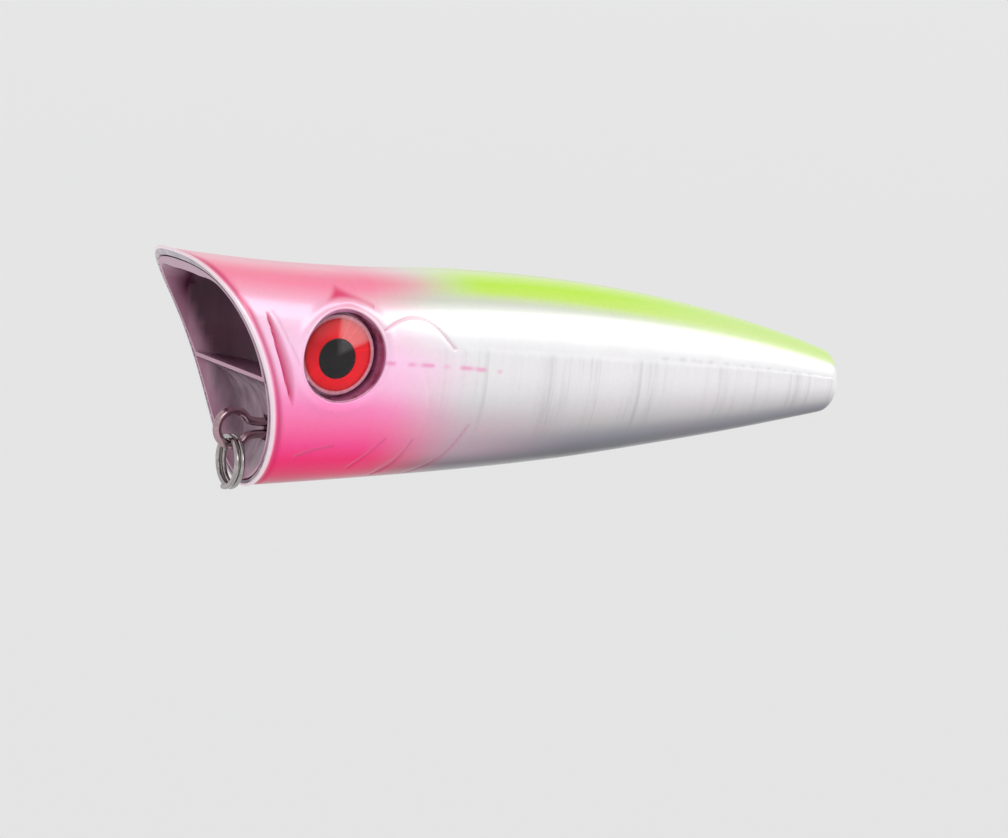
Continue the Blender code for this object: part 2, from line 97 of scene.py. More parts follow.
# The wires
TIE = Vector((9.1, 0, -6.2))
TIE_WIRE = 0.9
TIE_RADIUS = 1.75
TIE_OPENING = math.radians(38)
TIE_THROAT = 3.2
TIE_LEG = 0.6
TIE_BEND = 0.35
TIE_LEG_END = 7.85
TIE_FOOT = 2.3
TIE_SLOT_FIT = 0.25
TIE_RIB = (15.0, 16.2, -2.2)
RING_OUTSIDE = 5.6
RING_WIRE = 0.55
RING_PITCH = 0.6
RING_CLEARANCE = 0.1

# The eyes
EYE = (16.5, 2.4)
EYE_RADIUS = 4.0
PUPIL_RADIUS = 2.0
PUPIL_DROP = 0.4
SOCKET_FLOOR = 6.5
SOCKET_RADIUS = 4.2
SOCKET_DRAFT = 0.16
SOCKET_REACH = 6.0
SOCKET_WALL = 0.8
FOIL = 0.4
RIM_RADIUS = 4.8
RIM_WIRE = 0.2
RIM_DEPTH = 0.24
EYE_GAP = 0.1
LENS_HEIGHT = 1.1
LENS_REACH = 58
LENS_FLATNESS = 0.42

# Hook slots, ballast seats and what stands inside
HOOKS = (42.0, 70.0)
HOOK_PIN = (0.6, 3.8, 1.8)
HOOK_SLOT = (7.0, 1.9, 4.6)
REACH = 16.0
RIB = 1.0
BULKHEADS = (23.6, 37.0, 49.0)
RATTLE_FLOOR = -3.1
RAIL = (0.5, 0.7, 2.25)
SLUG = (30.8, -6.9, 2.45, 9.0)
SLUG_RIBS = (27.8, 33.0)
TAIL_BALLAST = ((54.5, 3.0), (61.3, 2.7))
BALLAST_LEVEL = -1.6
CRADLE = (0.8, 0.56)
LOCATING = ((26.9, 6.6), (46.6, 5.2), (50.8, -5.2), (65.6, 1.9))
LOCATING_BOSS = 1.6
LOCATING_PIN = (0.4, 2.4, 0.8)
LOCATING_HOLE = (0.55, 2.7, 0.95)
HOLLOW_STATIONS = (12, 13, 77.3)
PIN_FIT = 0.15
BALLAST_FIT = 0.3
OVERCUT = 0.02

SIDES = {"left": -1, "right": 1}
ACROSS = Matrix.Rotation(-math.pi / 2, 4, "X")
ALONG = Matrix.Rotation(math.pi / 2, 4, "Y")


# ---------------------------------------------------------------- small helpers

def smooth(value, low, high):
    """0 below low, 1 above high and a smooth step between, for arrays."""
    t = np.clip((value - low) / (high - low), 0, 1)
    return t * t * (3 - 2 * t)


def bump(distance, width):
    return np.exp(-((distance / width) ** 2))


def shade(red, green, blue):
    """A screen colour, 0 to 255, as the linear colour that shaders take."""
    parts = [c / 255 for c in (red, green, blue)]
    return (*[c / 12.92 if c < 0.04045 else ((c + 0.055) / 1.055) ** 2.4 for c in parts], 1.0)


def to_object(name, mesh):
    obj = bpy.data.objects.new(name, mesh)
    bpy.context.scene.collection.objects.link(obj)
    return obj


def from_bmesh(name, bm):
    bmesh.ops.recalc_face_normals(bm, faces=bm.faces)
    mesh = bpy.data.meshes.new(name)
    bm.to_mesh(mesh)
    bm.free()
    return to_object(name, mesh)


def block(low, high):
    low, high = Vector(low), Vector(high)
    size = Matrix.Diagonal((*(high - low), 1))
    bm = bmesh.new()
    bmesh.ops.create_cube(bm, size=1, matrix=Matrix.Translation((low + high) / 2) @ size)
    return from_bmesh("block", bm)


def rod(centre, length, radius, far_radius=None, turn=ACROSS, segments=48):
    """A cylinder, or a cone when the radius at its far end differs."""
    bm = bmesh.new()
    far_radius = radius if far_radius is None else far_radius
    bmesh.ops.create_cone(bm, cap_ends=True, segments=segments, radius1=radius, radius2=far_radius,
                          depth=length, matrix=Matrix.Translation(centre) @ turn)
    return from_bmesh("rod", bm)


def ball(centre, radius):
    bm = bmesh.new()
    bmesh.ops.create_uvsphere(bm, u_segments=32, v_segments=20, radius=radius,
                              matrix=Matrix.Translation(centre))
    return from_bmesh("ball", bm)


def mesh_from(name, points, faces):
    bm = bmesh.new()
    mesh = bpy.data.meshes.new(name)
    mesh.from_pydata(points.tolist(), [], faces)
    bm.from_mesh(mesh)
    bpy.data.meshes.remove(mesh)
    return bm


def loft(name, rings, split=False):
    """A closed body through rings of points; split rings stop at a flat face on the middle plane."""
    count, size = len(rings), len(rings[0])
    points = np.concatenate(rings)
    faces = [[row * size + k for k in range(size)] for row in (0, count - 1)]
    for row in range(count - 1):
        for k in range(size - 1 if split else size):
            a, b = row * size + k, row * size + (k + 1) % size
            faces.append((a, b, b + size, a + size))
    if split:
        firsts = [row * size for row in range(count)]
        faces.append(firsts + [first + size - 1 for first in reversed(firsts)])
    bm = mesh_from(name, points, faces)
    bmesh.ops.triangulate(bm, faces=[face for face in bm.faces if len(face.verts) == 4])
    return from_bmesh(name, bm)


def carve(obj, cutters, operation="DIFFERENCE"):
    """Cuts, joins or keeps what obj shares with the cutters, which are used up."""
    for cutter in cutters:
        modifier = obj.modifiers.new("carve", "BOOLEAN")
        modifier.operation = operation
        modifier.object = cutter
        modifier.solver = "EXACT"
    graph = bpy.context.evaluated_depsgraph_get()
    made = bpy.data.meshes.new_from_object(obj.evaluated_get(graph))
    obj.modifiers.clear()
    obj.data = made
    for cutter in cutters:
        bpy.data.objects.remove(cutter)
    return obj


def vertex_places(mesh):
    points = np.zeros(len(mesh.vertices) * 3)
    mesh.vertices.foreach_get("co", points)
    return points.reshape(-1, 3)


def add_mask(mesh, name, values):
    made = mesh.attributes.new(name, "FLOAT", "POINT")
    made.data.foreach_set("value", np.asarray(values, np.float32))


def place(obj, body, slot, *nodes, sharp=35):
    """Turns a piece made in millimetres into one of the frame's pieces."""
    mesh = obj.data
    mesh.transform(Matrix.Scale(MM, 4))
    mesh.shade_smooth()
    mesh.set_sharp_from_angle(angle=math.radians(sharp))
    obj.location = -TIE * MM
    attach(obj, body)
    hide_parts(*nodes)
    return obj


# ---------------------------------------------------------------- the body's surface

def body_line(column, station):
    """One column of BODY_LINES at stations, on a cubic through its points."""
    places = np.array([row[0] for row in BODY_LINES], float)
    values = np.array([row[column] for row in BODY_LINES], float)
    slopes = np.gradient(values, places)
    x = np.clip(station, places[0], places[-1])
    i = np.minimum(np.searchsorted(places, x, side="right") - 1, len(places) - 2)
    span = places[i + 1] - places[i]
    t = (x - places[i]) / span
    return (
        (2 * t**3 - 3 * t**2 + 1) * values[i]
        + (t**3 - 2 * t**2 + t) * span * slopes[i]
        + (3 * t**2 - 2 * t**3) * values[i + 1]
        + (t**3 - t**2) * span * slopes[i + 1]
    )


def section(station, above):
    """(half width, widest level, reach up or down, power) of the section at stations."""
    level = body_line(4, station)
    share = np.clip(station / LENGTH, 0, 1)
    power = np.where(above, SHOULDER[0] + (SHOULDER[1] - SHOULDER[0]) * share, KEEL)
    reach = np.where(above, body_line(1, station) - level, level - body_line(2, station))
    return body_line(3, station), level, reach, power


def surface(station, angle, inset=0.0):
    """Points at an angle round the body, from -90 degrees at the keel to 90 at the back, on +Y."""
    station, angle, inset = np.broadcast_arrays(station, angle, inset)
    into_tail = np.clip((station + inset - (LENGTH - TAIL_ROUND)) / TAIL_ROUND, 0, 1)
    drawn_in = inset + TAIL_ROUND * (1 - np.sqrt(1 - into_tail**2))
    cosine, sine = np.cos(angle), np.sin(angle)
    half_width, level, reach, power = section(station, sine > 0)
    y = (half_width - drawn_in) * np.sign(cosine) * np.abs(cosine) ** (2 / power)
    z = level + (reach - drawn_in) * np.sign(sine) * np.abs(sine) ** (2 / power)
    return np.stack([station, y, z], -1)


def angle_round(points):
    """The angle round the body of points on its surface, in degrees."""
    x, y, z = np.abs(points[:, 0]), np.abs(points[:, 1]), points[:, 2]
    half_width, level, reach, power = section(x, z > body_line(4, x))
    across = np.maximum(y / half_width, 0) ** (power / 2)
    upward = (np.abs(z - level) / reach) ** (power / 2)
    return np.degrees(np.arctan2(upward, across)) * np.sign(z - level)


def behind_rim(x, z):
    """How far a point is behind the mouth's face."""
    return np.hypot(x - MOUTH_CENTRE[0], z - MOUTH_CENTRE[1]) - MOUTH_ARC


def upper_lip(angle):
    """1 over the middle of the upper lip and 0 down the sides."""
    return smooth(np.degrees(np.arcsin(np.sin(angle))), *UPPER_LIP)


def wall(station, angle):
    """The shell's thickness: thin at the mouth's sides, more at its upper lip, full further back."""
    lip = LIP_WALL[0] + (LIP_WALL[1] - LIP_WALL[0]) * upper_lip(angle)
    return lip + (WALL - lip) * smooth(station, *WALL_TAPER)


def cup_wall(angle):
    return CUP_WALL[0] + (CUP_WALL[1] - CUP_WALL[0]) * upper_lip(angle)


RING_TURNS = 2 * np.pi * (np.arange(160) + 0.5) / 160


def lined_ring(station, clearance=0.0):
    """A ring inside the shell's inner surface, drawn in from it by clearance."""
    return surface(station, RING_TURNS, wall(station, RING_TURNS) + clearance)


def even_angles(count, station=18.0):
    """Angles from keel to back that space the points of a section evenly."""
    fine = np.linspace(-np.pi / 2, np.pi / 2, 6000)
    points = surface(station, fine)
    steps = np.linalg.norm(np.diff(points, axis=0), axis=1)
    length = np.concatenate([[0], np.cumsum(steps)])
    return np.interp(np.linspace(0, length[-1], count), length, fine)


# ---------------------------------------------------------------- relief moulded into the shells

CHEEK = ((7.46, 6.7), (8.75, 3.3), (9.95, 0.4), (11.2, -2.42))
CHEEK_LINE = ((8.09, 6.82), (9.9, 4.3), (11.45, 1.64))
BROW = ((11.4, 3.0), (12.3, 4.6), (14.3, 6.9), (16.8, 8.35), (18.9, 7.2), (20.8, 5.1), (21.5, 4.0))
BROW_TINT = ((12.4, 5.6), (15.9, 9.0), (19.8, 7.3))
GILL_LINE = ((20.8, 5.1), (22.6, 6.1), (24.4, 6.5), (26.4, 5.8), (28.9, 3.3))
GILL_EDGE = ((25.6, 0.9), (26.6, -1.8), (26.7, -4.6), (25.75, -7.4), (23.6, -9.8))
JAW_LINE = ((13.3, -8.0), (15.1, -7.3), (16.9, -6.9))
GILL_ARCS = (
    ((19.9, -9.3), (21.5, -7.5), (22.6, -6.1)),
    ((23.4, -10.4), (24.9, -8.9), (25.75, -6.2)),
    ((27.4, -10.3), (30.2, -8.2), (31.7, -4.6)),
)
# How far back the pink reaches at each angle round the body, 0 at the flank and 90 on the back
PINK_REACH = ((-30, 25.5), (-10, 25.5), (0, 27.0), (12, 23.0), (25, 20.5), (42, 21.5), (60, 25.5), (90, 24.5))
FOIL_EDGE = ((20.4, 1.9), (27.3, 1.6), (30.7, 1.4), (34.3, 1.05))


def off_line(line, x, z):
    """Distance of points from a line drawn on the flank."""
    best = np.full(np.shape(x), 1e9)
    for (x0, z0), (x1, z1) in zip(line, line[1:]):
        run, rise = x1 - x0, z1 - z0
        t = np.clip(((x - x0) * run + (z - z0) * rise) / (run**2 + rise**2), 0, 1)
        best = np.minimum(best, np.hypot(x - x0 - t * run, z - z0 - t * rise))
    return best


def eased(line, steps=6):
    """The line with its corners rounded, on a quadratic through its midpoints."""
    points = np.array(line, float)
    middles = (points[1:] + points[:-1]) / 2
    made = [points[0]]
    for start, corner, end in zip(middles, points[1:-1], middles[1:]):
        for t in np.linspace(0, 1, steps, endpoint=False):
            made.append((1 - t) ** 2 * start + 2 * t * (1 - t) * corner + t**2 * end)
    made += [middles[-1], points[-1]]
    return [tuple(point) for point in made]


def cheek_groove(x, z):
    """How deep a point is in the tapered cheek groove, 0 to 1: sharp in front, easing out behind."""
    xs, zs = np.array(CHEEK).T
    edge = np.interp(-z, -zs, xs)
    along = np.clip((zs[0] - z) / (zs[0] - zs[-1]), 0, 1)
    width = 0.25 + 1.0 * np.sin(np.pi * along)
    behind = x - edge
    inside = np.where(behind < 0, smooth(behind, -0.14, 0.02), np.clip(1 - behind / width, 0, 1) ** 1.5)
    return inside * smooth(zs[0] + 0.2 - z, 0, 0.8) * smooth(z - zs[-1] + 0.2, 0, 1.6)


def eye_distance(x, z):
    return np.hypot(x - EYE[0], z - EYE[1])


def brow(x, z):
    xs, zs = np.array(eased(BROW)).T
    return smooth(np.interp(x, xs, zs, left=-20, right=-20) - z, 0, 0.55) * smooth(z, 1.5, 4.5)


def relief(x, z):
    """Height of the moulded detail over the plain surface."""
    behind, from_eye = behind_rim(x, z), eye_distance(x, z)
    height = 0.16 * bump(behind - 0.05, 0.42) - 0.15 * bump(behind - 0.78, 0.26)
    height -= 0.34 * cheek_groove(x, z)
    height -= 0.05 * bump(off_line(eased(CHEEK_LINE), x, z), 0.14)
    height += 0.24 * brow(x, z) * smooth(from_eye, 4.9, 5.7) + 0.1 * bump(from_eye - 5.45, 0.45)
    height -= 0.32 * np.clip((5.3 - from_eye) / 0.85, 0, 1) ** 2
    height -= 0.09 * bump(off_line(eased(GILL_LINE), x, z), 0.16)
    height -= 0.05 * bump(off_line(eased(GILL_EDGE), x, z), 0.3)
    height -= 0.13 * bump(off_line(eased(JAW_LINE), x, z), 0.17)
    for arc in GILL_ARCS:
        height -= 0.07 * bump(off_line(eased(arc), x, z), 0.17)
    return height


# ---------------------------------------------------------------- the painted half shells

def stations_behind(angles, inset, distance):
    """For each angle the station where the surface is that far behind the mouth's face."""
    low, high = np.full(len(angles), START), np.full(len(angles), 30.0)
    for _ in range(40):
        middle = (low + high) / 2
        points = surface(middle, angles, inset)
        short = behind_rim(points[:, 0], points[:, 2]) < distance
        low, high = np.where(short, middle, low), np.where(short, high, middle)
    return (low + high) / 2


def shell_rows(angles):
    """(stations, inset) of each ring of the shell: over its lip, along the head, then to the tail."""
    rows = [(np.full(len(angles), START + 1), 1.1)]
    rows += [(stations_behind(angles, inset, 0), inset) for inset in (1.1, 0.7, 0.4)]
    for turn in np.radians((0, 18, 36, 54, 72, 90)):
        inset, distance = LIP_ROUND * (1 - math.sin(turn)), LIP_ROUND * (1 - math.cos(turn))
        rows.append((stations_behind(angles, inset, distance), inset))
    for distance in np.arange(0.42, 6, 0.16):
        rows.append((stations_behind(angles, 0, distance), 0.0))
    joint, near = 27.0, rows[-1][0]
    for share in np.linspace(0, 1, 100)[1:]:
        rows.append((near + (joint - near) * share, 0.0))
    even = np.ones(len(angles))
    rows += [(even * x, 0.0) for x in np.arange(joint + 0.25, 40, 0.25)]
    rows += [(even * x, 0.0) for x in np.arange(40.25, LENGTH - TAIL_ROUND - 0.2, 0.45)]
    turns = np.radians(np.arange(0, 91, 9))
    rows += [(even * (LENGTH - TAIL_ROUND * (1 - math.sin(turn))), 0.0) for turn in turns]
    return rows


def half_blank(name, side):
    """Half of the body as a solid, its lip rounded and its relief moulded in."""
    angles = even_angles(200)
    rings = []
    for stations, inset in shell_rows(angles):
        points = surface(stations, angles, inset)
        x, y, z = points.T
        half_width, level, reach, power = section(x, z > body_line(4, x))
        ny = (np.abs(y) / half_width) ** (power - 1) / half_width
        nz = np.sign(z - level) * (np.abs(z - level) / reach) ** (power - 1) / reach
        size = np.hypot(ny, nz)
        lift = relief(x, z) * max(1 - inset / 0.6, 0)
        y = side * np.maximum(np.abs(y) + lift * ny / size, SEAM / 2)
        rings.append(np.stack([x, y, z + lift * nz / size], -1))
    return loft(name, rings, split=True)


def eye_rod(side, middle, *radii, segments=96):
    return rod((EYE[0], side * middle, EYE[1]), SOCKET_REACH, *radii, segments=segments)


def structure():
    """All that stands inside the shells, as solids."""
    start, end = BULKHEADS[0] + RIB / 2, BULKHEADS[1] + RIB / 2
    thick, tall, off = RAIL
    made = [block((start, -REACH, RATTLE_FLOOR - RIB), (end, REACH, RATTLE_FLOOR))]
    for side in SIDES.values():
        low = (start, side * off - thick / 2, RATTLE_FLOOR - RIB / 2)
        made.append(block(low, (end, side * off + thick / 2, RATTLE_FLOOR + tall)))
        made.append(eye_rod(side, SOCKET_FLOOR - SOCKET_WALL + SOCKET_REACH / 2, SOCKET_RADIUS + SOCKET_WALL))
    made += [block((x, -REACH, -REACH), (x + RIB, REACH, REACH)) for x in BULKHEADS]
    made.append(block((TIE_RIB[0], -REACH, -REACH), (TIE_RIB[1], REACH, TIE_RIB[2])))
    thick, spread = CRADLE
    made += [block((x, -REACH, -REACH), (x + thick, REACH, RATTLE_FLOOR - RIB / 2)) for x in SLUG_RIBS]
    for station, radius in TAIL_BALLAST:
        for middle in (station - radius * spread, station + radius * spread):
            made.append(block((middle - thick / 2, -REACH, -REACH), (middle + thick / 2, REACH, REACH)))
    for station in HOOKS:
        along, up = HOOK_SLOT[0] / 2 + RIB, float(body_line(2, station)) + HOOK_SLOT[2] + RIB
        half = HOOK_PIN[1] / 2 + RIB
        made.append(block((station - along, -half, -REACH), (station + along, half, up)))
    made += [rod((x, 0, z), 2 * REACH, LOCATING_BOSS) for x, z in LOCATING]
    return made


def hollow():
    """All that the shells are cut by: the cavity round its structure, hook slots and bores, seats."""
    head, trunk, rear = HOLLOW_STATIONS
    stations = [*np.linspace(START, head, 30), *np.linspace(trunk, rear, 40)]
    stations += list(LENGTH - WALL - TAIL_ROUND * (1 - np.sin(np.radians((0, 30, 55, 75, 90)))))
    room = carve(loft("hollow", [lined_ring(x) for x in sorted(stations)]), structure())
    cuts = []
    for station in HOOKS:
        floor = float(body_line(2, station))
        along, half = HOOK_SLOT[0] / 2, HOOK_SLOT[1] / 2
        cuts.append(block((station - along, -half, floor - 3), (station + along, half, floor + HOOK_SLOT[2])))
        radius, length, up = HOOK_PIN
        cuts.append(rod((station, 0, floor + up), length + 2 * PIN_FIT, radius + PIN_FIT))
    cuts += [ball((x, 0, BALLAST_LEVEL), radius + BALLAST_FIT) for x, radius in TAIL_BALLAST]
    cuts.append(rod((SLUG[0], 0, SLUG[1]), SLUG[3], SLUG[2], turn=ALONG))
    cuts.append(tie_slot())
    return carve(room, cuts, "UNION")


def tie_slot():
    half = TIE_WIRE / 2 + TIE_SLOT_FIT
    low = TIE + Vector((TIE_THROAT - TIE_SLOT_FIT, -half, -TIE_LEG - half))
    return block(low, (TIE_RIB[1] + OVERCUT, half, TIE.z + TIE_LEG + half))


def socket(side):
    far = SOCKET_RADIUS + SOCKET_DRAFT * SOCKET_REACH
    radii = (far, SOCKET_RADIUS) if side < 0 else (SOCKET_RADIUS, far)
    return eye_rod(side, SOCKET_FLOOR + SOCKET_REACH / 2, *radii, segments=128)


def locating(side):
    middle, length, radius = LOCATING_PIN if side < 0 else LOCATING_HOLE
    return [rod((x, middle, z), length, radius) for x, z in LOCATING]


def socket_rim(name, side, look):
    """The rolled rim round an eye's socket, following the cheek's surface."""
    turns = np.linspace(0, 2 * np.pi, 193)[:-1]
    x, z = EYE[0] + RIM_RADIUS * np.cos(turns), EYE[1] + RIM_RADIUS * np.sin(turns)
    half_width, level, reach, power = section(x, z > body_line(4, x))
    y = half_width * (1 - (np.abs(z - level) / reach) ** power) ** (1 / power) - RIM_DEPTH
    line = np.stack([x, side * y, z], -1)
    ahead = np.roll(line, -1, 0) - np.roll(line, 1, 0)
    ahead /= np.linalg.norm(ahead, axis=1)[:, None]
    outward = np.stack([np.cos(turns), 0 * turns, np.sin(turns)], -1)
    proud = np.cross(ahead, outward)
    proud /= np.linalg.norm(proud, axis=1)[:, None]
    around = np.linspace(0, 2 * np.pi, 17)[:-1]
    points = [line + RIM_WIRE * (math.cos(t) * np.cross(proud, ahead) + math.sin(t) * proud) for t in around]
    count = len(turns)
    faces = []
    for k in range(len(around)):
        after = (k + 1) % len(around)
        for j in range(count):
            beyond = (j + 1) % count
            faces.append((k * count + j, k * count + beyond, after * count + beyond, after * count + j))
    rim = from_bmesh(f"socket_rim_{name}", mesh_from("rim", np.concatenate(points), faces))
    rim.data.materials.append(look)
    paint_masks(rim.data)
    return place(rim, "lure", f"painted_shell_{name}", sharp=90)


def painted_shell(name, side, room, looks):
    shell = half_blank(f"skin_{name}", side)
    own = to_object("room", room.data.copy())
    carve(shell, [own, socket(side)])
    carve(shell, locating(side), "UNION" if side < 0 else "DIFFERENCE")
    finish_faces(shell.data, looks)
    paint_masks(shell.data)
    return place(shell, "lure", f"painted_shell_{name}", f"shell_{name}")


def finish_faces(mesh, looks):
    """Paint outside, bare plastic on the lip and inside, and painted shade on the socket's wall."""
    mesh.materials.clear()
    for look in looks:
        mesh.materials.append(look)
    count = len(mesh.polygons)
    centres = np.zeros(count * 3)
    mesh.polygons.foreach_get("center", centres)
    x, y, z = centres.reshape(-1, 3).T
    half_width, level, reach, power = section(x, z > body_line(4, x))
    outward = ((np.abs(y) / half_width) ** power + (np.abs(z - level) / reach) ** power) ** (1 / power)
    depth = np.hypot(y, z - level) * (1 / np.maximum(outward, 0.01) - 1)
    on_lip = (behind_rim(x, z) < 0.07) & (depth > LIP_ROUND - 0.05)
    bare = (depth > 0.62) & (x < LENGTH - TAIL_ROUND) | on_lip
    in_socket = (eye_distance(x, z) < 4.72) & (np.abs(y) > SOCKET_FLOOR - 0.05)
    kind = np.where(in_socket, 2, np.where(bare, 1, 0)).astype(np.int32)
    mesh.polygons.foreach_set("material_index", kind)


def paint_masks(mesh):
    """Where each coat of the airbrushed finish lies, and where painted shade goes in the grooves and engraved
    lines, as one value per point for the paint to read.
    """
    points = vertex_places(mesh)
    x, z = points[:, 0], points[:, 2]
    angle = angle_round(points)
    masks = {"girth": (angle + 90) / 180, "behind": behind_rim(x, z)}
    fade = np.interp(angle, *np.array(PINK_REACH).T)
    masks["pink"] = 1 - smooth(x, fade - 6, fade + 7)
    masks["haze"] = smooth(-angle, 12, 34) * (1 - 0.7 * smooth(-angle, 46, 62)) * (1 - smooth(x, 28, 48))
    masks["pale"] = smooth(x, 44, 68)
    edge = 47 - 12 * smooth(x, 30, 78)
    masks["lime"] = smooth(angle, edge - 6, edge + 9) * smooth(x, 24.5, 34)
    # Painted shade along the engraved gill, jaw and cheek lines.
    lines = 0.9 * bump(off_line(eased(GILL_LINE), x, z), 0.13)
    lines = np.maximum(lines, 0.9 * bump(off_line(eased(JAW_LINE), x, z), 0.15))
    lines = np.maximum(lines, 0.45 * bump(off_line(eased(CHEEK_LINE), x, z), 0.1))
    for arc in GILL_ARCS:
        lines = np.maximum(lines, 0.7 * bump(off_line(eased(arc), x, z), 0.15))
    masks["lines"] = lines
    broken = 0.5 + 0.5 * np.sin(x * 2.1 + 0.6) * np.sin(x * 0.9)
    masks["dashes"] = bump(off_line(FOIL_EDGE, x, z), 0.2) * smooth(broken, 0.25, 0.75)
    far_edge = 12 - 0.05 * (x - 54)
    scuffs = bump(angle - far_edge, 1.3) * smooth(x, 52, 56) * (1 - smooth(x, 76, 79))
    masks["scuffs"] = scuffs * smooth(np.sin(x * 5.3) + np.sin(x * 3.1 + 1), -0.2, 0.9)
    masks["foil"] = smooth(angle, -48, -24) * (1 - smooth(angle, 7, 11)) * smooth(x, 17, 40)
    # Painted shade: dark pink in the cheek groove and in the groove behind the lip's bead.
    lip_groove_shade = 0.8 * bump(behind_rim(x, z) - 0.8, 0.3) * smooth(angle, -75, -30)
    masks["groove_shade"] = np.maximum(np.sqrt(cheek_groove(x, z)), lip_groove_shade)
    top = np.interp(x, *np.array(BROW_TINT).T, left=-20, right=-20)
    masks["brow"] = smooth(top - z, -0.5, 0.4) * smooth(eye_distance(x, z), 5.5, 6.0) * smooth(z, 4, 5)
    for name, values in masks.items():
        add_mask(mesh, name, values)


# ---------------------------------------------------------------- the mouth cup

def bowl(start, depth, clearance):
    rings = []
    turns = np.radians((0, 8, 16, 24, 32, 40, 48, 56, 63, 70, 76, 81, 85))
    places = [(START, 1.0), (start / 2, 1.0)]
    places += [(start + depth * math.sin(turn), math.cos(turn)) for turn in turns]
    for station, share in places:
        centre = np.array((station, 0, SCOOP_LEVEL))
        rings.append(centre + (lined_ring(station, clearance) - centre) * share)
    return loft("bowl", rings)


def lined(start, end, clearance):
    return loft("lined", [lined_ring(x, clearance) for x in np.linspace(start, end, 16)])


def mouth_cup(look):
    """The smoked insert: a domed scoop over a shelf, and a hollow chin plate cored from behind."""
    far, inside = 40, CUP_FIT + cup_wall(RING_TURNS)
    skirt = lined(START / 2, CUP_BACK, CUP_FIT + OVERCUT)
    carve(skirt, [block((-far, -far, SHELF_TOP - SHELF / 2), (far, far, far))])
    scoop = bowl(*SCOOP, inside)
    carve(scoop, [block((-far, -far, -far), (far, far, SHELF_TOP))])
    dish = lined(START, CUP_BACK + RIB, inside)
    carve(dish, [rod(CHIN_CENTRE, 2 * REACH, CHIN_ARC, segments=200)], "INTERSECT")
    core = lined(CHIN_CENTRE[0], CUP_BACK + RIB, inside + OVERCUT)
    carve(core, [block((-far, -far, SHELF_TOP - SHELF), (far, far, far)),
                 rod(CHIN_CENTRE, 2 * REACH, CHIN_ARC + CHIN_PLATE, segments=200)])
    cup = bowl(*SCOOP_BACK, CUP_FIT)
    cup.name = "smoked_cup"
    carve(cup, [skirt], "UNION")
    boss = SOCKET_WALL + CUP_FIT
    middle = SOCKET_FLOOR - boss + SOCKET_REACH / 2
    reliefs = [eye_rod(side, middle, SOCKET_RADIUS + boss) for side in SIDES.values()]
    sweep = rod((MOUTH_CENTRE[0], 0, MOUTH_CENTRE[1]), 40, MOUTH_ARC, segments=640)
    carve(cup, [scoop, dish, core, *reliefs, sweep, tie_slot()])
    cup.data.materials.clear()
    cup.data.materials.append(look)
    x, _, z = vertex_places(cup.data).T
    add_mask(cup.data, "rim", 1 - smooth(behind_rim(x, z), *CUP_PALE_RIM))
    return place(cup, "lure", "smoked_clear_plastic", "mouth_cup", sharp=30)


# ---------------------------------------------------------------- wires

def wire(name, points, diameter, look):
    """A round wire along points with rounded ends, as a mesh."""
    curve = bpy.data.curves.new(name, "CURVE")
    curve.dimensions = "3D"
    curve.bevel_depth = diameter / 2
    curve.bevel_resolution = 8
    curve.use_fill_caps = True
    spline = curve.splines.new("POLY")
    spline.points.add(len(points) - 1)
    for place_on, point in zip(spline.points, points):
        place_on.co = (*point, 1)
    spline.use_smooth = True
    holder = to_object("curve", curve)
    graph = bpy.context.evaluated_depsgraph_get()
    mesh = bpy.data.meshes.new_from_object(holder.evaluated_get(graph))
    bpy.data.objects.remove(holder)
    mesh.materials.clear()
    mesh.materials.append(look)
    return to_object(name, mesh)


def fillet(corner, start, end, radius, steps=7):
    """Points of an arc that rounds a right-angled corner between two directions."""
    corner, start, end = (np.array(v, float) for v in (corner, start, end))
    centre = corner + radius * (start + end)
    turns = np.linspace(0, np.pi / 2, steps)
    return [tuple(centre - radius * (end * math.cos(t) + start * math.sin(t))) for t in turns]


def line_tie(look):
    """One wire: up the foot, out along a leg, round the eye, and back the same way below."""
    turns = np.linspace(TIE_OPENING, 2 * math.pi - TIE_OPENING, 72)
    bend = fillet((TIE_LEG_END, TIE_LEG), (0, 1), (-1, 0), TIE_BEND)
    half = [(TIE_LEG_END, TIE_FOOT)] + bend + [(TIE_THROAT, TIE_LEG), (TIE_THROAT - 0.25, TIE_LEG + 0.02)]
    tangent = (TIE_RADIUS * math.cos(TIE_OPENING), TIE_RADIUS * math.sin(TIE_OPENING))
    half += ease_between(half[-1], (-1, 0), tangent, (-math.sin(TIE_OPENING), math.cos(TIE_OPENING)))
    path = half + [(TIE_RADIUS * math.cos(turn), TIE_RADIUS * math.sin(turn)) for turn in turns]
    path += [(x, -z) for x, z in reversed(half)]
    points = [(TIE.x + x, 0, TIE.z + z) for x, z in path]
    return place(wire("tie_wire_bent", points, TIE_WIRE, look), "lure", "tie_wire", "line_tie", sharp=60)


def ease_between(start, leaving, end, arriving, steps=8):
    """Points between two places on a cubic that leaves and arrives in the directions given."""
    start, leaving, end, arriving = (np.array(v, float) for v in (start, leaving, end, arriving))
    pull = np.linalg.norm(end - start) * 0.9
    made = []
    for t in np.linspace(0, 1, steps)[1:-1]:
        point = (2 * t**3 - 3 * t**2 + 1) * start + (t**3 - 2 * t**2 + t) * pull * leaving
        point += (3 * t**2 - 2 * t**3) * end + (t**3 - t**2) * pull * arriving
        made.append(tuple(point))
    return made


def split_ring(look):
    """Two turns of wire side by side, whose ends meet at the bottom."""
    radius = (RING_OUTSIDE - RING_WIRE) / 2
    strand = TIE_RADIUS - TIE_WIRE / 2 - RING_CLEARANCE - RING_WIRE / 2
    drop = radius + math.sqrt(strand**2 - (RING_PITCH / 2) ** 2)
    points = []
    for share in np.linspace(-0.5, 0.5, 161):
        turn = 4 * math.pi * share + math.pi / 2
        across = 2 * RING_PITCH * share
        points.append((TIE.x + across, radius * math.cos(turn), TIE.z - drop - radius * math.sin(turn)))
    return place(wire("ring_coiled", points, RING_WIRE, look), "ring", "ring_wire", "split_ring", sharp=60)


# ---------------------------------------------------------------- eyes

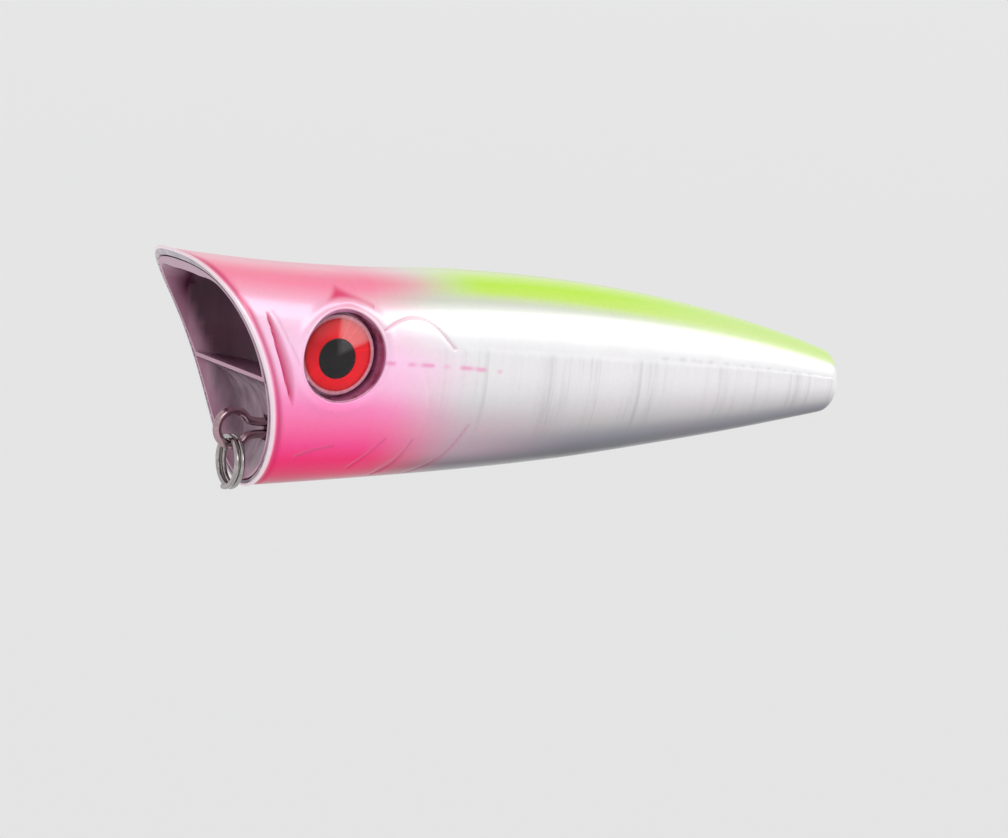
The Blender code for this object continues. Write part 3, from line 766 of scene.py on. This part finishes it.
def lathe(name, outline, side, seat, steps=96, drop=lambda radius: 0.0):
    """An outline of (radius, height) turned about an eye's axis, height outward from its seat.

    drop lowers the circle at each radius, for a hole that is off the middle.
    """
    bm = bmesh.new()
    rings = []
    for radius, height in outline:
        y = side * (SOCKET_FLOOR + seat + height)
        level = EYE[1] - drop(radius)
        if radius < 1e-6:
            rings.append([bm.verts.new((EYE[0], y, level))])
            continue
        turns = [2 * math.pi * k / steps for k in range(steps)]
        rings.append([bm.verts.new((EYE[0] + radius * math.cos(t), y, level + radius * math.sin(t)))
                      for t in turns])
    closed = len(rings[0]) > 1
    pairs = list(zip(rings, rings[1:] + rings[:1])) if closed else list(zip(rings, rings[1:]))
    for low, high in pairs:
        for k in range(steps):
            nxt = (k + 1) % steps
            corners = [low[k % len(low)], low[nxt % len(low)], high[nxt % len(high)], high[k % len(high)]]
            kept = list(dict.fromkeys(corners))
            if len(kept) > 2:
                bm.faces.new(kept)
    return from_bmesh(name, bm)


def eye_pieces(name, side, iris_look, pupil_look, lens_look):
    hole = PUPIL_RADIUS + 0.04
    width = EYE_RADIUS - 0.1 - hole
    crown = [(hole + width * t, FOIL * (0.82 + 0.18 * t**2)) for t in np.linspace(0, 1, 14)]
    crown += [(EYE_RADIUS, FOIL * 0.9), (EYE_RADIUS, 0), (hole, 0)]
    iris = lathe(f"iris_{name}", crown, side, EYE_GAP,
                 drop=lambda radius: PUPIL_DROP * (EYE_RADIUS - radius) / (EYE_RADIUS - hole))
    iris.data.materials.append(iris_look)
    place(iris, "lure", f"iris_foil_{name}", f"eye_iris_{name}")

    turns = np.radians(np.arange(90, -1, -7.5))
    crown = [(PUPIL_RADIUS * math.cos(t), FOIL - 0.14 + 0.14 * math.sin(t)) for t in turns]
    crown[0] = (0, FOIL)
    crown += [(PUPIL_RADIUS, 0), (0, 0)]
    pupil = lathe(f"pupil_{name}", crown, side, EYE_GAP, drop=lambda radius: PUPIL_DROP)
    pupil.data.materials.append(pupil_look)
    place(pupil, "lure", f"pupil_black_{name}", f"eye_pupil_{name}")

    reach = math.radians(LENS_REACH)
    sphere = (EYE_RADIUS - 0.1) / math.sin(reach)
    crest = LENS_HEIGHT - sphere * LENS_FLATNESS
    turns = np.linspace(0, reach, 26)
    dome = [(sphere * math.sin(t), crest + sphere * LENS_FLATNESS * math.cos(t)) for t in turns]
    dome[0] = (0, dome[0][1])
    base = dome[-1][1]
    edge = [(EYE_RADIUS, base - 0.12), (EYE_RADIUS, 0.05), (EYE_RADIUS - 0.05, 0), (0, 0)]
    lens = lathe(f"lens_{name}", dome + edge, side, 2 * EYE_GAP + FOIL)
    lens.data.materials.append(lens_look)
    place(lens, "lure", f"lens_clear_{name}", f"eye_lens_{name}")


# ---------------------------------------------------------------- materials

def fill_ramp(ramp, stops):
    points = ramp.elements
    while len(points) < len(stops):
        points.new(0.5)
    for point, (where, colour) in zip(points, stops):
        point.position = where
        point.color = colour if len(colour) == 4 else (*colour, 1)


class Look:
    """A material built node by node; its principled shader is there from the start."""

    def __init__(self, name, **sockets):
        self.material = bpy.data.materials.new(name)
        self.material.use_nodes = True
        self.tree = self.material.node_tree
        self.shader = self.tree.nodes["Principled BSDF"]
        self.out = self.tree.nodes["Material Output"]
        for socket_name, value in sockets.items():
            self.shader.inputs[socket_name.replace("_", " ")].default_value = value

    def link(self, source, target):
        self.tree.links.new(source, target)
        return self

    def node(self, kind, inputs=(), **settings):
        made = self.tree.nodes.new(f"ShaderNode{kind}")
        for key, value in settings.items():
            setattr(made, key, value)
        for key, value in dict(inputs).items():
            if isinstance(value, bpy.types.NodeSocket):
                self.tree.links.new(value, made.inputs[key])
            else:
                made.inputs[key].default_value = value
        return made

    def mask(self, name):
        return self.node("Attribute", attribute_name=name, attribute_type="GEOMETRY").outputs["Fac"]

    def place(self, scale=(1, 1, 1)):
        """The object's own coordinates, in millimetres from the upper lip, times scale."""
        where = self.node("TexCoord").outputs["Object"]
        scale = tuple(s / MM for s in scale)
        return self.node("Mapping", {"Vector": where, "Scale": scale}).outputs["Vector"]

    def noise(self, scale, stretch=(1, 1, 1), detail=3.0, roughness=0.5, distortion=0.0):
        inputs = {"Vector": self.place(stretch), "Scale": scale, "Detail": detail,
                  "Roughness": roughness, "Distortion": distortion}
        return self.node("TexNoise", inputs).outputs["Fac"]

    def ramp(self, value, stops):
        made = self.node("ValToRGB", {"Fac": value})
        fill_ramp(made.color_ramp, stops)
        return made.outputs["Color"]

    def grey(self, value, stops):
        return self.ramp(value, [(where, (tone, tone, tone)) for where, tone in stops])

    def mix(self, share, a, b, blend="MIX"):
        made = self.node("MixRGB", {"Fac": share, "Color1": a, "Color2": b}, blend_type=blend)
        return made.outputs["Color"]

    def maths(self, operation, a, b):
        made = self.node("Math", operation=operation)
        for socket_in, value in zip(made.inputs, (a, b)):
            if isinstance(value, bpy.types.NodeSocket):
                self.tree.links.new(value, socket_in)
            else:
                socket_in.default_value = value
        return made.outputs["Value"]

    def times(self, a, b):
        return self.maths("MULTIPLY", a, b)

    def plus(self, a, b):
        return self.maths("ADD", a, b)

    def around(self, stops):
        """Screen colours at angles round the body, from the keel at -90 to the back at 90, with painted shade
        and highlight in them.
        """
        stops = [((angle + 90) / 180, shade(*colour)) for angle, *colour in stops]
        return self.ramp(self.mask("girth"), stops)

    def from_eye(self):
        """Millimetres tailward and upward of an eye's middle."""
        parts = self.node("SeparateXYZ", {"Vector": self.place()}).outputs
        return self.maths("SUBTRACT", parts["X"], EYE[0]), self.maths("SUBTRACT", parts["Z"], EYE[1])

    def colour(self, source):
        return self.link(source, self.shader.inputs["Base Color"])

    def rough(self, source):
        return self.link(source, self.shader.inputs["Roughness"])

    def emboss(self, height, distance, strength=1.0):
        made = self.node("Bump", {"Height": height, "Distance": distance * MM, "Strength": strength})
        return self.link(made.outputs["Normal"], self.shader.inputs["Normal"])


# Coats of the finish: angle round the body, then the screen colour there. Each colour holds painted light as
# well as paint: shade darkening the lower flanks and painted highlight on the upper flanks. In the silver,
# the dark band near -61 degrees is a painted reflection.
SILVER_AND_PAINTED_LIGHT = (
    (-90, 132, 130, 135), (-74, 98, 97, 105), (-61, 56, 60, 72), (-50, 116, 116, 128), (-40, 152, 151, 158),
    (-30, 190, 188, 189), (-20, 211, 208, 210), (-9, 226, 224, 225), (2, 234, 232, 233), (14, 236, 235, 236),
    (28, 244, 244, 242), (44, 208, 213, 198), (90, 222, 230, 216),
)
PINK_AND_PAINTED_LIGHT = (
    (-90, 200, 30, 92), (-74, 206, 2, 82), (-60, 240, 0, 100), (-50, 252, 4, 112), (-40, 255, 72, 148),
    (-30, 255, 112, 170), (-20, 255, 138, 194), (-10, 254, 184, 222), (2, 252, 204, 234), (18, 244, 194, 216),
    (30, 240, 180, 204), (42, 250, 158, 184), (52, 252, 136, 167), (62, 250, 128, 158), (90, 250, 150, 175),
)
LIME_AND_PAINTED_LIGHT = ((35, 224, 240, 186), (50, 204, 236, 110), (64, 194, 242, 54), (76, 204, 244, 90), (90, 214, 240, 150))


def paint():
    """Airbrushed lacquer over foil: hot pink head, silver flanks, a chartreuse back, with painted shade,
    highlight and reflection laid into its colours.
    """
    look = Look("airbrushed_foil", Metallic=0.3, Specular_IOR_Level=0.2,
                Coat_Weight=0.45, Coat_Roughness=0.06)
    streaks = look.noise(0.9, (1.0, 0.05, 0.05), detail=4, roughness=0.6)
    wide = look.noise(0.23, (1.0, 0.06, 0.06), detail=2)
    both = look.plus(look.times(streaks, 0.6), look.times(wide, 0.4))
    tone = look.grey(both, [(0.36, 0.8), (0.47, 0.97), (0.6, 1.0)])
    foil = look.mask("foil")
    # The silver, pink and lime ramps carry painted shade, highlight and reflection round the body as well as
    # the paint's colour.
    silver, pink, lime = look.around(SILVER_AND_PAINTED_LIGHT), look.around(PINK_AND_PAINTED_LIGHT), look.around(LIME_AND_PAINTED_LIGHT)
    lime = look.mix(look.times(look.mask("pale"), 0.5), lime, shade(216, 236, 178))
    silver = look.mix(foil, silver, look.mix(1.0, silver, tone, "MULTIPLY"))
    silver = look.mix(look.times(look.mask("haze"), 0.6), silver, shade(214, 176, 192))
    ragged = look.plus(look.mask("pink"), look.times(look.maths("SUBTRACT", streaks, 0.5), 0.12))
    colour = look.mix(ragged, silver, pink)
    colour = look.mix(look.mask("lime"), colour, lime)
    # Tints over the coats: painted shade in the grooves and the engraved lines, the brow's deeper pink, marks
    # on the foil's edge, and scuffs.
    tints = (("groove_shade", 1.0, (206, 44, 104)), ("brow", 1.0, (226, 66, 112)), ("lines", 0.6, (186, 84, 122)),
             ("dashes", 0.8, (236, 138, 188)), ("scuffs", 0.55, (206, 206, 210)))
    for name, weight, tint in tints:
        colour = look.mix(look.times(look.mask(name), weight), colour, shade(*tint))
    # Painted highlight: pale pink along the lip's bead, where it catches the light.
    edge = look.grey(look.mask("behind"), [(0.16, 1.0), (0.5, 0.0)])
    colour = look.mix(edge, colour, shade(252, 232, 240))
    specks = look.grey(look.noise(2.2, detail=2), [(0.3, 0.975), (0.6, 1.0)])
    look.colour(look.mix(1.0, colour, specks, "MULTIPLY"))
    look.rough(look.grey(look.noise(0.3, detail=1), [(0.3, 0.28), (0.7, 0.34)]))
    return look.emboss(look.times(look.plus(streaks, wide), foil), 0.07, 0.5).material


def bare_plastic():
    """Unpainted clear moulding, clouded at its cut edge."""
    look = Look("bare_clear_moulding", Coat_Weight=0.6, Coat_Roughness=0.08)
    clouds = look.noise(0.7, detail=4)
    look.colour(look.ramp(clouds, [
        (0.3, shade(128, 108, 124)), (0.55, shade(168, 148, 162)), (0.75, shade(205, 190, 200)),
    ]))
    look.rough(look.grey(clouds, [(0.3, 0.14), (0.7, 0.3)]))
    return look.emboss(look.noise(3, detail=3), 0.03).material


# Dark purple painted shade for the socket's wall, standing in for the shadow inside the socket.
def socket_painted_shade():
    look = Look("socket_painted_shade", Metallic=0.3, Coat_Weight=1.0, Coat_Roughness=0.06)
    clouds = look.noise(0.5, detail=3)
    look.colour(look.ramp(clouds, [(0.3, shade(118, 40, 74)), (0.7, shade(176, 96, 138))]))
    look.rough(look.grey(clouds, [(0.3, 0.2), (0.7, 0.34)]))
    return look.emboss(look.noise(2.5), 0.02).material


def smoked_plastic():
    """Glossy smoked insert that lets through some of what is behind it, with painted shade darkening its
    scoop above the shelf.
    """
    look = Look("smoked_insert", Coat_Weight=0.4, Coat_Roughness=0.03, Specular_IOR_Level=0.25)
    clouds = look.noise(0.16, (1, 1, 0.4), detail=4, distortion=0.6)
    streaks = look.noise(0.5, (1.0, 1.0, 0.12), detail=3)
    tone = look.ramp(clouds, [
        (0.3, shade(78, 14, 48)), (0.5, shade(108, 44, 80)), (0.72, shade(144, 92, 122)),
    ])
    # Painted shade by height: darker purple over the deep scoop above the shelf, paler grey-pink on the chin
    # plate below.
    upper = look.mix(0.35, tone, look.ramp(streaks, [(0.35, shade(66, 16, 40)), (0.65, shade(132, 72, 100))]))
    lower = look.ramp(streaks, [(0.35, shade(178, 150, 168)), (0.65, shade(234, 214, 226))])
    height = look.node("SeparateXYZ", {"Vector": look.place()}).outputs["Z"]
    tone = look.mix(look.grey(look.plus(height, 1.0), [(0.0, 1.0), (1.0, 0.0)]), upper, lower)
    rim = look.mask("rim")
    look.colour(look.mix(look.times(rim, 0.8), tone, shade(214, 158, 184)))
    look.rough(look.grey(clouds, [(0.3, 0.08), (0.7, 0.2)]))
    look.emboss(look.noise(0.35, detail=3), 0.12, 0.6)
    clear = look.node("BsdfTransparent", {"Color": shade(200, 140, 170)})
    both = look.node("MixShader", {"Fac": look.grey(rim, [(0.0, 0.4), (0.6, 0.1)])})
    look.link(look.shader.outputs["BSDF"], both.inputs[1]).link(clear.outputs["BSDF"], both.inputs[2])
    return look.link(both.outputs["Shader"], look.out.inputs["Surface"]).material


def metal(name, colour, roughness, grain=(1, 1, 1), wear=0.06):
    """Drawn or turned steel: fine grain along it and faint handling marks."""
    look = Look(name, Metallic=1.0)
    marks = look.noise(2.2, grain, detail=5, roughness=0.65)
    dark, bright = [tuple(min(c * share, 1) for c in colour[:3]) for share in (0.62, 1.15)]
    look.colour(look.ramp(marks, [(0.25, dark), (0.5, colour), (0.8, bright)]))
    look.rough(look.grey(marks, [(0.3, roughness), (0.75, roughness + wear)]))
    return look.emboss(look.noise(6, grain, detail=3), 0.012).material


def iris_foil():
    """Red mirror foil with fine rays, deeper at its rims, a pale edge where the foil ends, a painted shadow
    on its upper head-ward side and a painted reflection.
    """
    look = Look("red_eye_foil", Metallic=0.1, Specular_IOR_Level=0.1)
    across, upward = look.from_eye()
    squares = look.plus(look.times(across, across), look.times(upward, upward))
    radius = look.maths("DIVIDE", look.maths("SQRT", squares, 0.0), EYE_RADIUS)
    turn = look.maths("ARCTAN2", upward, across)
    rays = look.node("TexNoise", {"Vector": look.node("CombineXYZ", {"X": turn}).outputs["Vector"],
                                  "Scale": 9.0, "Detail": 4.0}).outputs["Fac"]
    red = look.ramp(radius, [
        (0.5, shade(250, 4, 26)), (0.66, shade(255, 14, 40)), (0.82, shade(255, 6, 30)),
        (0.9, shade(214, 2, 24)), (0.93, shade(250, 170, 192)), (1.0, shade(252, 206, 220)),
    ])
    leaning = look.plus(look.times(across, -0.13), look.times(upward, 0.1))
    shadow = look.grey(leaning, [(0.15, 1.0), (0.5, 0.58)])
    red = look.mix(1.0, red, shadow, "MULTIPLY")
    # Painted reflection: a pale wedge of the lens's glare mixed into the red.
    red = look.mix(look.times(painted_reflection_wedge(look, across, upward), 0.42), red, shade(252, 190, 190))
    look.colour(look.mix(1.0, red, look.grey(rays, [(0.35, 0.93), (0.6, 1.0)]), "MULTIPLY"))
    look.rough(look.grey(rays, [(0.3, 0.2), (0.7, 0.32)]))
    return look.emboss(rays, 0.012).material


def painted_reflection_wedge(look, across, upward):
    """A soft wedge of the eye, tailward and above its middle: a painted reflection of a light in the lens,
    laid on the foil and the pupil.
    """
    tailward = look.grey(look.plus(across, 0.2), [(0.0, 0.0), (0.7, 1.0)])
    slanted = look.maths("SUBTRACT", upward, look.times(across, 0.45))
    return look.times(tailward, look.grey(look.plus(slanted, 0.3), [(0.0, 0.0), (0.5, 1.0)]))


def pupil_gloss():
    look = Look("black_pupil", Specular_IOR_Level=0.1)
    dust = look.noise(1.6, detail=5)
    black = look.ramp(dust, [(0.3, shade(6, 5, 6)), (0.7, shade(22, 20, 22))])
    # Painted reflection: the same wedge, grey on the black pupil.
    look.colour(look.mix(look.times(painted_reflection_wedge(look, *look.from_eye()), 0.2), black, shade(150, 150, 152)))
    look.rough(look.grey(dust, [(0.3, 0.18), (0.7, 0.3)]))
    return look.emboss(dust, 0.01).material


def lens_clear():
    """A clear domed lens: what is under it shows through a glossy skin."""
    look = Look("clear_eye_lens")
    look.tree.nodes.remove(look.shader)
    swirl = look.noise(0.4, detail=2)
    polish = look.grey(swirl, [(0.3, 0.02), (0.7, 0.05)])
    skin = look.node("BsdfGlossy", {"Color": (1, 1, 1, 1), "Roughness": polish})
    tint = look.ramp(swirl, [(0.3, (0.97, 0.95, 0.96)), (0.7, (1, 1, 1))])
    clear = look.node("BsdfTransparent", {"Color": tint})
    angle = look.node("Fresnel", {"IOR": 1.22})
    both = look.node("MixShader", {"Fac": angle.outputs["Fac"]})
    look.link(clear.outputs["BSDF"], both.inputs[1]).link(skin.outputs["BSDF"], both.inputs[2])
    return look.link(both.outputs["Shader"], look.out.inputs["Surface"]).material


def finish_kept_nodes():
    """Materials for the frame's own pins, ballast and rattle balls."""
    polished = metal("polished_ball", shade(205, 205, 208), 0.1)
    lead = metal("cast_slug", shade(128, 128, 134), 0.42, wear=0.2)
    drawn = metal("drawn_pin", shade(190, 186, 180), 0.2, grain=(1, 0.1, 1))
    for name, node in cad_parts.items():
        if node.hide_render:
            continue
        look = lead if name == "belly_ballast" else drawn if name.endswith("pin") else polished
        node.data.materials.clear()
        node.data.materials.append(look)


# ---------------------------------------------------------------- studio

def studio():
    world = bpy.context.scene.world or bpy.data.worlds.new("studio")
    bpy.context.scene.world = world
    world.use_nodes = True
    tree = world.node_tree
    tree.nodes.clear()
    direction = tree.nodes.new("ShaderNodeTexCoord").outputs["Generated"]
    height = tree.nodes.new("ShaderNodeSeparateXYZ")
    tree.links.new(direction, height.inputs["Vector"])
    scaled = tree.nodes.new("ShaderNodeMapRange")
    scaled.inputs["From Min"].default_value = -1
    tree.links.new(height.outputs["Z"], scaled.inputs["Value"])
    ramp = tree.nodes.new("ShaderNodeValToRGB")
    stops = ((0.0, 0.8), (0.3, 0.9), (0.43, 1.03), (0.45, 0.815), (0.54, 0.815), (0.6, 0.92), (1.0, 0.7))
    fill_ramp(ramp.color_ramp, [(where, (tone, tone, tone * 1.01)) for where, tone in stops])
    tree.links.new(scaled.outputs["Result"], ramp.inputs["Fac"])
    background = tree.nodes.new("ShaderNodeBackground")
    background.inputs["Strength"].default_value = 0.95
    tree.links.new(ramp.outputs["Color"], background.inputs["Color"])
    out = tree.nodes.new("ShaderNodeOutputWorld")
    tree.links.new(background.outputs["Background"], out.inputs["Surface"])
    bpy.context.scene.view_settings.view_transform = "Standard"


def softbox(name, direction, distance, size, brightness, middle):
    """A large area light facing the lure; brightness is how bright it looks in a mirror."""
    data = bpy.data.lights.new(name, "AREA")
    data.shape = "RECTANGLE"
    data.size, data.size_y = size
    data.energy = brightness * math.pi * size[0] * size[1]
    lamp = to_object(name, data)
    direction = Vector(direction).normalized()
    lamp.location = middle + direction * distance
    lamp.rotation_euler = direction.to_track_quat("Z", "Y").to_euler()


def floor():
    mesh = bpy.data.meshes.new("floor")
    reach, level = 60, -0.46
    corners = [(x * reach, y * reach, level) for x, y in ((-1, -1), (1, -1), (1, 1), (-1, 1))]
    mesh.from_pydata(corners, [], [(0, 1, 2, 3)])
    sheet = to_object("floor", mesh)
    look = Look("pale_floor", Base_Color=(0.2, 0.2, 0.2, 1), Roughness=0.9)
    look.shader.inputs["Emission Color"].default_value = shade(231, 231, 231)
    look.shader.inputs["Emission Strength"].default_value = 0.74
    mesh.materials.append(look.material)
    sheet.visible_glossy = False
    sheet.visible_diffuse = False


def camera(middle):
    """The product-shot view: from the head's left, a little above, the horizon turned slightly."""
    yaw, tilt, roll, distance = math.radians(30), math.radians(8.1), math.radians(5.2), 0.4
    forward = Vector((math.sin(yaw) * math.cos(tilt), math.cos(yaw) * math.cos(tilt), -math.sin(tilt)))
    right = Vector((math.cos(yaw), -math.sin(yaw), 0))
    upward = right.cross(forward)
    rolled = math.cos(roll) * right + math.sin(roll) * upward
    rolled_up = -math.sin(roll) * right + math.cos(roll) * upward
    data = bpy.data.cameras.new("camera")
    data.lens = 138.36
    data.shift_x, data.shift_y = -0.0042, -0.0497
    data.clip_start, data.clip_end = 0.05, 200
    cam = to_object("camera", data)
    turn = Matrix((rolled, rolled_up, -forward)).transposed().to_4x4()
    cam.matrix_world = Matrix.Translation(middle - distance * forward) @ turn
    bpy.context.scene.camera = cam


def main():
    middle = (Vector((40, 0, 0)) - TIE) * MM
    camera(middle)
    studio()
    softbox("key", (0.42, -0.76, 0.50), 0.7, (1.3, 0.34), 1.9, middle)
    softbox("top", (-0.15, -0.1, 1.0), 0.9, (1.2, 0.5), 0.45, middle)
    floor()

    looks = (paint(), bare_plastic(), socket_painted_shade())
    room = hollow()
    for name, side in SIDES.items():
        painted_shell(name, side, room, looks)
        socket_rim(name, side, looks[0])
    bpy.data.objects.remove(room)
    mouth_cup(smoked_plastic())
    # Steel wire, its colour tinted pink as a painted reflection of the pink head.
    line_tie(metal("tie_steel", shade(178, 150, 157), 0.16, grain=(0.2, 1, 1)))
    split_ring(metal("ring_chrome", shade(176, 172, 170), 0.1, grain=(1, 0.4, 0.4)))
    iris, pupil, lens = iris_foil(), pupil_gloss(), lens_clear()
    for name, side in SIDES.items():
        eye_pieces(name, side, iris, pupil, lens)
    finish_kept_nodes()


main()
bpy.context.view_layer.update()
